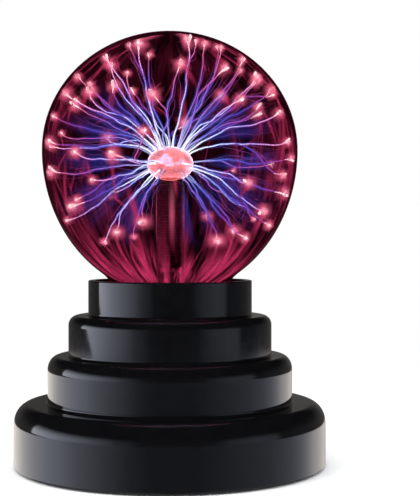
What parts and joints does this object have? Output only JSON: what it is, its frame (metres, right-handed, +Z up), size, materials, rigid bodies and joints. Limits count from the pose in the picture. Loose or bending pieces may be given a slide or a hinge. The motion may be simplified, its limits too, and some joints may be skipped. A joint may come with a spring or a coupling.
{
  "type": "plasma ball",
  "caption": "Desk plasma ball: a sealed glass globe with a centre electrode on a stepped round black base that holds cells, a driver board, a switch and a power inlet.",
  "frame": {"origin": "centre of the plane that the four feet stand on", "axes": "+Z up along the lamp's axis, +Y towards the back, where the switch and the power inlet are"},
  "size_m": [0.098, 0.098, 0.1361],
  "materials": {
    "housing": "deep black, polished mould",
    "cover_plastic": "black, fine texture",
    "knob_plastic": "black, ribbed",
    "rubber_foot": "matte",
    "globe_glass": "clear, filled with gas that glows",
    "electrode_glass": "clear",
    "electrode_wool": "crumpled metal wool, lit pink",
    "steel": "plated",
    "switch_can": "plated sheet",
    "aluminium": "satin",
    "silicone": "translucent white",
    "foam": "closed cell",
    "board": "solder mask",
    "ferrite": "dark grey",
    "winding_tape": "polyester tape",
    "cell_sleeve": "printed sleeve without text",
    "component_black": "moulded",
    "capacitor_sleeve": "shrunk sleeve",
    "resistor_body": "lacquered",
    "lead_red": "insulation",
    "lead_black": "insulation",
    "lead_white": "insulation"
  },
  "bodies": {
    "root": {"base_housing": "housing", "battery_lead_black": "lead_black", "battery_lead_red": "lead_red", "board_screw_1": "steel", "board_screw_2": "steel", "board_screw_3": "steel", "bottom_cover": "cover_plastic", "capacitor_1": "capacitor_sleeve", "capacitor_2": "capacitor_sleeve", "capacitor_3": "capacitor_sleeve", "cell_1": "cell_sleeve", "cell_2": "cell_sleeve", "cell_3": "cell_sleeve", "cell_4": "cell_sleeve", "circuit_board": "board", "contact_plate_1": "steel", "contact_plate_2": "steel", "contact_plate_3": "steel", "contact_plate_4": "steel", "contact_plate_5": "steel", "contact_spring_1": "steel", "contact_spring_2": "steel", "contact_spring_3": "steel", "contact_spring_4": "steel", "cover_screw_1": "steel", "cover_screw_2": "steel", "cover_screw_3": "steel", "cover_screw_4": "steel", "drive_transistor": "component_black", "electrode_coil": "steel", "electrode_plug": "component_black", "electrode_tube": "electrode_glass", "electrode_wool": "electrode_wool", "exhaust_tip": "electrode_glass", "foot_1": "rubber_foot", "foot_2": "rubber_foot", "foot_3": "rubber_foot", "foot_4": "rubber_foot", "globe": "globe_glass", "globe_adhesive": "silicone", "globe_seat_ring": "foam", "heat_sink": "aluminium", "high_voltage_lead": "lead_white", "inlet_lead": "lead_red", "power_inlet": "component_black", "resistor_1": "resistor_body", "resistor_2": "resistor_body", "switch_body": "switch_can", "switch_lead": "lead_white", "transformer_core": "ferrite", "transformer_winding": "winding_tape"},
    "door": {"battery_door": "cover_plastic"},
    "knob": {"switch_knob": "knob_plastic"}
  },
  "joints": [
    {"name": "switch_slide", "type": "slide", "parent": "root", "child": "knob", "axis": [1, 0, 0], "range_m": [0, 0.004]},
    {"name": "battery_door_slide", "type": "slide", "parent": "root", "child": "door", "axis": [0, 1, 0], "range_m": [0, 0.004]}
  ]
}
